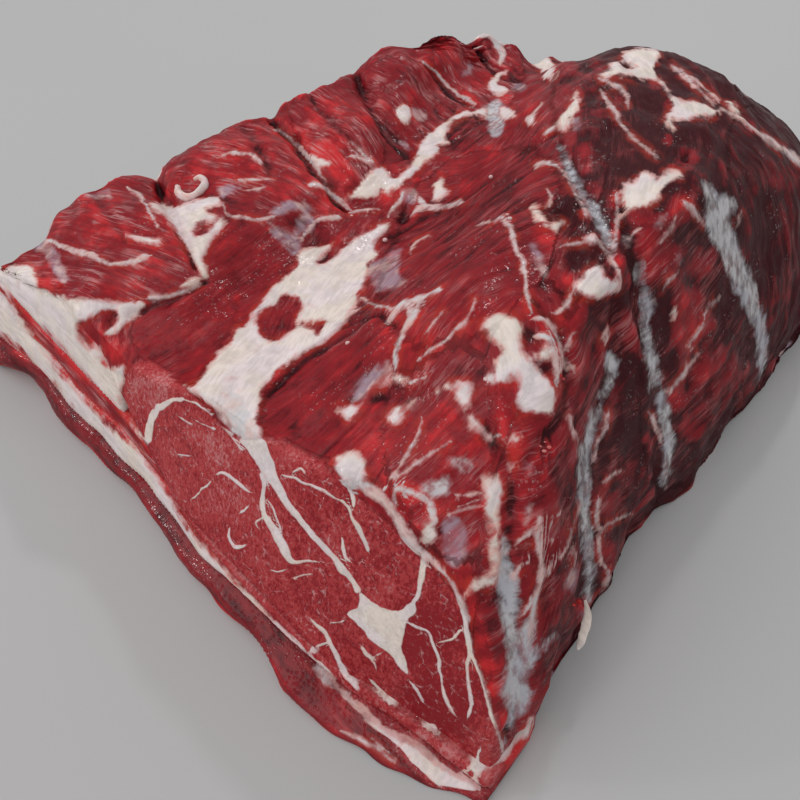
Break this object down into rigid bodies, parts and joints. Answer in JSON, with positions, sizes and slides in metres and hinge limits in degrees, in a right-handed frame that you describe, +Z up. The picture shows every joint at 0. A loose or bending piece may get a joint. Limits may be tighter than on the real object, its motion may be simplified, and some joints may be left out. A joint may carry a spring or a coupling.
{
  "type": "beef chuck roll",
  "caption": "Raw boneless beef chuck roll: a knife-cut end with marbled muscles and fat seams, rib ridges on one side, a silverskin side, lying flat.",
  "frame": {"origin": "on the underside, at the middle of the box that holds the roll", "axes": "+Z up, +Y along the roll away from the knife-cut end, +X towards the tall side under the silverskin; the rib ridges are at -X"},
  "size_m": [0.3152, 0.3818, 0.1279],
  "materials": {
    "lean_meat": "satin",
    "fat": "satin"
  },
  "bodies": {
    "root": {"main_muscles": "lean_meat", "upper_fat": "fat", "streak_muscle": "lean_meat", "fat_layer": "fat", "under_muscle": "lean_meat"}
  },
  "joints": []
}
